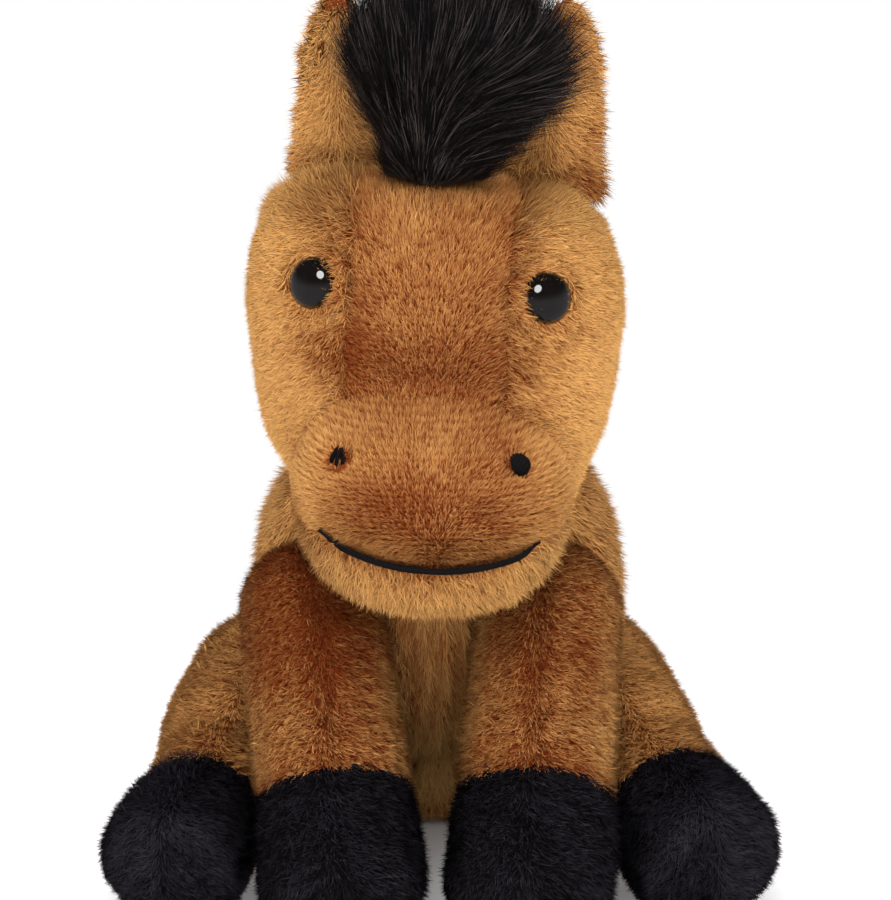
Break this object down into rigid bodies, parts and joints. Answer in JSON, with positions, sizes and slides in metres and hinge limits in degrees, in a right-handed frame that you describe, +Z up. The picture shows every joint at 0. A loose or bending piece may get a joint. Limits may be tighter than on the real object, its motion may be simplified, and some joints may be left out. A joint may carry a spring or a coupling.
{
  "type": "plush horse",
  "caption": "Sitting plush horse with a seamed head, domed safety eyes, an embroidered face, soft ears and stuffed legs that lift at the seams.",
  "frame": {"origin": "middle of the flat seat, on the surface that the horse sits on", "axes": "+Z up, the face towards -Y, the horse's own left towards +X"},
  "size_m": [0.155, 0.1649, 0.2102],
  "materials": {
    "brown_plush": "short pile",
    "light_plush": "short pile",
    "ear_plush": "short pile",
    "black_plush": "short pile",
    "black_pile": "long pile",
    "black_thread": "satin stitch",
    "eye_plastic": "polished",
    "washer_nylon": "moulded",
    "fibre_fill": "loose fibre",
    "pellet_fill": "cloth pouch of pellets"
  },
  "bodies": {
    "torso": {"torso_cover": "brown_plush", "belly_gusset": "light_plush", "torso_stuffing": "fibre_fill", "pellet_pouch": "pellet_fill", "neck_mane": "black_pile"},
    "head": {"forehead_gusset": "brown_plush", "head_side_left": "brown_plush", "head_side_right": "brown_plush", "muzzle_panel": "brown_plush", "chin_panel": "light_plush", "head_stuffing": "fibre_fill", "mouth": "black_thread", "nostril_left": "black_thread", "nostril_right": "black_thread", "eye_left": "eye_plastic", "eye_right": "eye_plastic", "eye_washer_left": "washer_nylon", "eye_washer_right": "washer_nylon", "forelock": "black_pile", "crest_mane": "black_pile"},
    "ear_left": {"ear_left_outer": "brown_plush", "ear_left_lining": "ear_plush"},
    "ear_right": {"ear_right_outer": "brown_plush", "ear_right_lining": "ear_plush"},
    "tail": {"tail": "black_pile"},
    "front_leg_left": {"front_leg_left_cover": "brown_plush", "front_leg_left_hoof": "black_plush", "front_leg_left_sole": "black_plush", "front_leg_left_stuffing": "fibre_fill"},
    "front_leg_right": {"front_leg_right_cover": "brown_plush", "front_leg_right_hoof": "black_plush", "front_leg_right_sole": "black_plush", "front_leg_right_stuffing": "fibre_fill"},
    "hind_leg_left": {"hind_leg_left_cover": "brown_plush", "hind_leg_left_hoof": "black_plush", "hind_leg_left_sole": "black_plush", "hind_leg_left_stuffing": "fibre_fill"},
    "hind_leg_right": {"hind_leg_right_cover": "brown_plush", "hind_leg_right_hoof": "black_plush", "hind_leg_right_sole": "black_plush", "hind_leg_right_stuffing": "fibre_fill"}
  },
  "joints": [
    {"name": "neck_nod", "type": "hinge", "parent": "torso", "child": "head", "pos_m": [-0.0023, -0.04, 0.094], "axis": [1, 0, 0], "range_deg": [-10, 4], "stiffness_Nm_per_rad": 0.8},
    {"name": "front_leg_left_lift", "type": "hinge", "parent": "torso", "child": "front_leg_left", "pos_m": [0.02564, -0.054, 0.06583], "axis": [-1, 0, 0], "range_deg": [0, 10], "stiffness_Nm_per_rad": 0.2},
    {"name": "front_leg_right_lift", "type": "hinge", "parent": "torso", "child": "front_leg_right", "pos_m": [-0.02897, -0.054, 0.06583], "axis": [-1, 0, 0], "range_deg": [0, 10], "stiffness_Nm_per_rad": 0.2},
    {"name": "hind_leg_left_lift", "type": "hinge", "parent": "torso", "child": "hind_leg_left", "pos_m": [0.033, -0.022, 0.03455], "axis": [-0.6249, -0.4679, 0.6249], "range_deg": [0, 20], "stiffness_Nm_per_rad": 0.2},
    {"name": "hind_leg_right_lift", "type": "hinge", "parent": "torso", "child": "hind_leg_right", "pos_m": [-0.039, -0.022, 0.03455], "axis": [-0.6498, 0.3944, -0.6498], "range_deg": [0, 20], "stiffness_Nm_per_rad": 0.2},
    {"name": "ear_left_bend", "type": "hinge", "parent": "head", "child": "ear_left", "pos_m": [0.02546, -0.04047, 0.16472], "axis": [0.9246, 0.3666, -0.1039], "range_deg": [-20, 8], "stiffness_Nm_per_rad": 0.05},
    {"name": "ear_right_bend", "type": "hinge", "parent": "head", "child": "ear_right", "pos_m": [-0.02239, -0.03754, 0.16723], "axis": [0.9981, -0.0609, 0.0088], "range_deg": [-20, 8], "stiffness_Nm_per_rad": 0.05},
    {"name": "tail_lift", "type": "hinge", "parent": "torso", "child": "tail", "pos_m": [-0.003, 0.03497, 0.04], "axis": [1, 0, 0], "range_deg": [0, 40], "stiffness_Nm_per_rad": 0.05}
  ]
}
